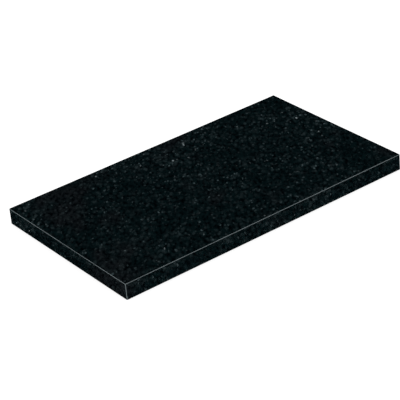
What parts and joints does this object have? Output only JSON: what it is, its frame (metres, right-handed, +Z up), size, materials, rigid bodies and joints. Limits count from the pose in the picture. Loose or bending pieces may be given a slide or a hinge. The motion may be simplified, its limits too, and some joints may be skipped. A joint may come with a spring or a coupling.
{
  "type": "flat grave slab",
  "caption": "Plain rectangular slab of polished black granite with ground arrises, a flat headstone that lies on a grave by its own weight.",
  "frame": {"origin": "middle of the underside, on the surface that the slab lies on", "axes": "+X along the slab's length, +Y across its width, +Z up out of the polished top"},
  "size_m": [1.2, 0.7, 0.06],
  "materials": {
    "black_granite": "satin"
  },
  "bodies": {
    "root": {"grave_slab": "black_granite"}
  },
  "joints": []
}
